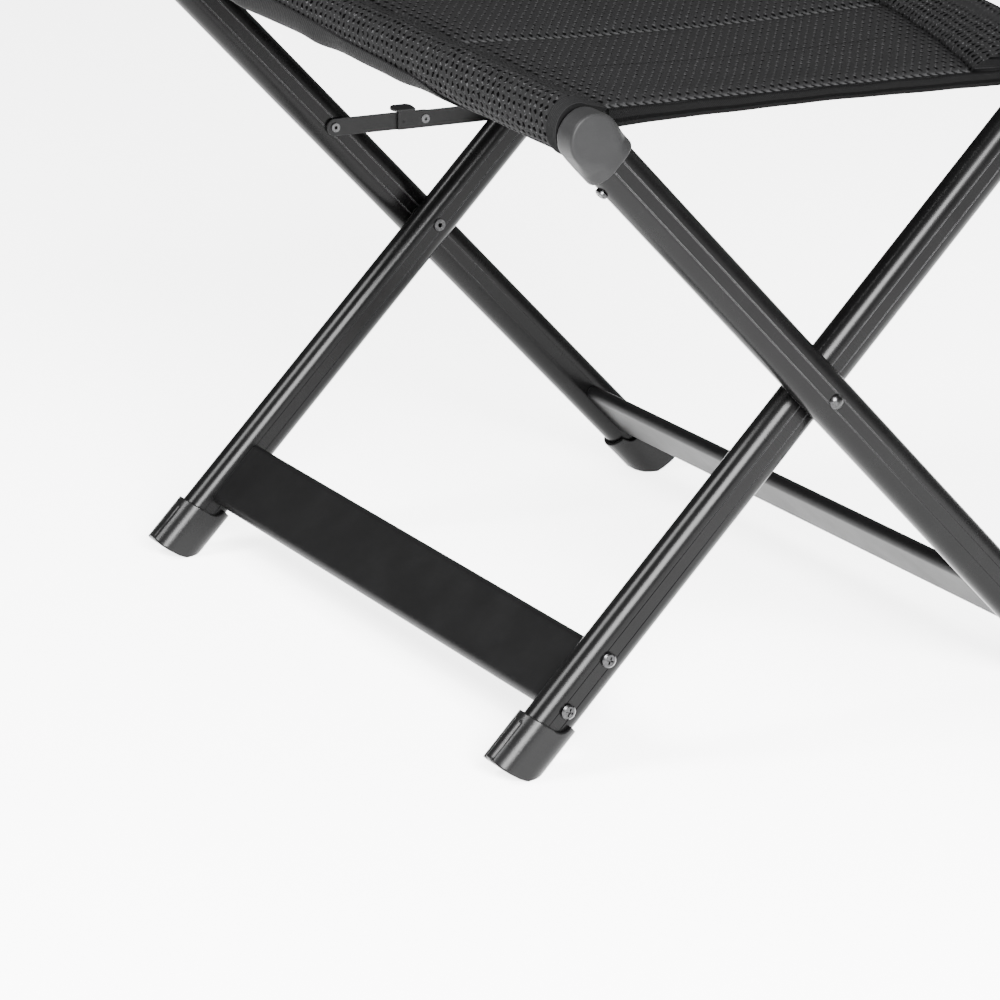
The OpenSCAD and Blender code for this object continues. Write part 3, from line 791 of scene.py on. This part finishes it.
def sleeve_hem(side, end):
    """Ribbed band sewn round the end of a sleeve, next to the cap."""
    y0, y1 = SLEEVE_ENDS[side]
    inw = 1.0 if end < 0 else -1.0
    ye = y0 if end < 0 else y1
    run = np.arange(0.25, HEM_WIDTH, 0.26)
    n = 84
    V, W = [], []
    for layer in (0, 1):
        seq = run if layer == 0 else run[::-1]
        for t in seq:
            y = ye + inw * t
            close = float(smooth(0, 14, min(y - y0, y1 - y)))
            S = float(seam_dx(y, side)) if side < 0 else 24.0
            zt = SEAM_Z[side]
            p = section(min(S, 23.0) - 2.5, zt, zt - 5.0, ROLL_R, puff(y, side, close), n)
            off = -0.7
            if layer == 0:
                rib = 0.75 + 0.24 * math.cos(2 * math.pi * t / 1.3)
                off = rib * min(1.0, 0.4 + min(t, HEM_WIDTH - t) / 0.8)
            p = p + normals(p) * off
            bx, bz = bar(y, side)
            V.append(np.c_[bx - side * p[:, 0], np.full(n, y), bz + p[:, 1]])
            W.append(np.c_[np.full(n, t), np.arange(n) * 1.1])
    nr = len(V)
    verts = np.vstack(V)
    f = grid_faces(nr, n, True)
    c = np.arange(n)
    d = (c + 1) % n
    last = (nr - 1) * n
    f = np.vstack([f, np.stack([last + c, last + d, d, c], -1)])
    name = "sleeve_hem_%s_%s" % ("left" if side < 0 else "right", "near" if end < 0 else "far")
    return to_object(name, verts, f, HEM, np.vstack(W))


def tape(side):
    """Smooth edging tape of the sleeve cloth, wrapped under the roll with a slack, wavy lower edge."""
    ys = np.arange(-150.0, 244.0 if side < 0 else 220.0, 2.2)
    n = 26
    outer, inner, W = [], [], []
    for y in ys:
        grow = float(smooth(-150, -96, y))
        hi = 236.0 - 38.0 * grow - 0.2 * max(0.0, min(float(y) + 100, 170)) - 1.5 * math.sin(y / 17.0)
        zt = SEAM_Z[side]
        close = ROLL_R + float(wobble(y, 8, 0.2))
        p = section(float(seam_dx(y, side)), zt, zt - 4.2, close, puff(y, side), 200)
        deg = np.degrees(np.unwrap(np.radians(np.degrees(np.arctan2(p[:, 1], p[:, 0])) % 360)))
        want = np.linspace(hi, 282.0, n)
        px = np.interp(want, deg, p[:, 0])
        pz = np.interp(want, deg, p[:, 1])
        nx_, nz_ = np.cos(np.radians(want)), np.sin(np.radians(want))
        wave = (0.5 + 0.45 * math.sin(y / 12.3 + 0.6) + 0.3 * math.sin(y / 7.7)) * grow
        lift = 0.95 + (0.2 + max(0.0, wave)) * np.exp(-(((want - 228) / 26) ** 2)) * (0.3 + grow)
        lift = lift * smooth(-152, -140, y) + 0.45 * (1 - smooth(-152, -140, y))
        ox, oz = px + nx_ * lift, pz + nz_ * lift
        qx, qz = px + nx_ * (lift - 0.7), pz + nz_ * (lift - 0.7)
        bx, bz = bar(y, side)
        outer.append(np.c_[bx - side * ox, np.full(n, y), bz + oz])
        inner.append(np.c_[bx - side * qx, np.full(n, y), bz + qz])
        W.append(np.c_[np.arange(n) * 0.8, np.full(n, y)])
    verts = np.vstack(outer + inner)
    W = np.vstack(W)
    name = "sleeve_tape_left" if side < 0 else "sleeve_tape_right"
    return to_object(name, verts, sheet_faces(len(ys), n), TAPE, np.vstack([W, W]))


# ------------------------------------------------------------------ seat pieces
# the body that each side's sleeve pieces are attached to
BODIES = {-1: "outer_frame", 1: "inner_frame"}
for side, node in ((-1, "sleeve_left"), (1, "sleeve_right")):
    r = roll(side)
    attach(r, BODIES[side])
    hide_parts(node)
    for end in (-1, 1):
        h = sleeve_hem(side, end)
        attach(h, BODIES[side])
    t = tape(side)
    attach(t, BODIES[side])

cloth = panel()
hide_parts("seat_panel")
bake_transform(cloth)
for which, node in ((-1, "front_binding"), (1, "back_binding")):
    b = edge_binding(which)
    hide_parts(node)
    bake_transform(b)


# ------------------------------------------------------------------ camera
AZIMUTH, ELEVATION, TILT = -29.406, 17.459, 0.678
EYE = (-1.327192, -2.222346, 0.888488)


def make_camera():
    az, el, roll_ = math.radians(AZIMUTH), math.radians(ELEVATION), math.radians(TILT)
    back = Vector((math.sin(az) * math.cos(el), -math.cos(az) * math.cos(el), math.sin(el)))
    right = (-back).cross(Vector((0, 0, 1))).normalized()
    up = right.cross(-back)
    r = right * math.cos(roll_) + up * math.sin(roll_)
    u = up * math.cos(roll_) - right * math.sin(roll_)
    data = bpy.data.cameras.new("camera")
    data.sensor_width = 36
    data.sensor_fit = "HORIZONTAL"
    data.lens = 149.32
    data.clip_start, data.clip_end = 0.05, 60
    cam = bpy.data.objects.new("camera", data)
    bpy.context.scene.collection.objects.link(cam)
    loc = Vector(EYE)
    cam.matrix_world = Matrix((
        (r.x, u.x, back.x, loc.x), (r.y, u.y, back.y, loc.y), (r.z, u.z, back.z, loc.z),
        (0, 0, 0, 1)))
    bpy.context.scene.camera = cam


make_camera()


# ------------------------------------------------------------------ stage
def make_stage():
    me = bpy.data.meshes.new("floor")
    bm = bmesh.new()
    bmesh.ops.create_grid(bm, x_segments=1, y_segments=1, size=15)
    bm.to_mesh(me)
    floor = bpy.data.objects.new("floor", me)
    bpy.context.scene.collection.objects.link(floor)
    m = Nodes("floor")
    b = m.bsdf.inputs
    b["Base Color"].default_value = (0.9, 0.9, 0.9, 1)
    b["Roughness"].default_value = 0.9
    b["Specular IOR Level"].default_value = 0.1
    b["Emission Color"].default_value = (1, 1, 1, 1)
    # the floor glows and lights the stool from below; its glow fades out in front of the stool, to the right of
    # the camera
    xyz = m.new("ShaderNodeSeparateXYZ")
    m.put(xyz.inputs[0], m.new("ShaderNodeNewGeometry").outputs["Position"])
    ahead = m.math("MULTIPLY_ADD", xyz.outputs[1], -0.871, m.math("MULTIPLY", xyz.outputs[0], 0.491))
    m.put(b["Emission Strength"], m.step(ahead, 0.95, 1.35, 3.9, 0.9))
    me.materials.append(m.mat)
    world = bpy.data.worlds.new("world")
    bpy.context.scene.world = world
    world.use_nodes = True
    background = world.node_tree.nodes["Background"].inputs
    background["Color"].default_value = (1, 1, 1, 1)
    background["Strength"].default_value = 0.35

    # name, place, width and height (m), power (W)
    for name, loc, width, height, power in (
            ("front", (-0.80, -2.62, 1.42), 1.3, 1.3, 700),
            ("key", (-1.9, 0.3, 2.4), 1.1, 1.1, 210),
            ("side", (2.6, -0.6, 1.9), 0.9, 1.4, 20)):
        d = bpy.data.lights.new(name, "AREA")
        d.energy = power
        d.shape = "RECTANGLE"
        d.size, d.size_y = width, height
        o = bpy.data.objects.new(name, d)
        bpy.context.scene.collection.objects.link(o)
        o.location = loc
        o.rotation_euler = (Vector((0, 0, 0.2)) - Vector(loc)).to_track_quat("-Z", "Y").to_euler()


make_stage()
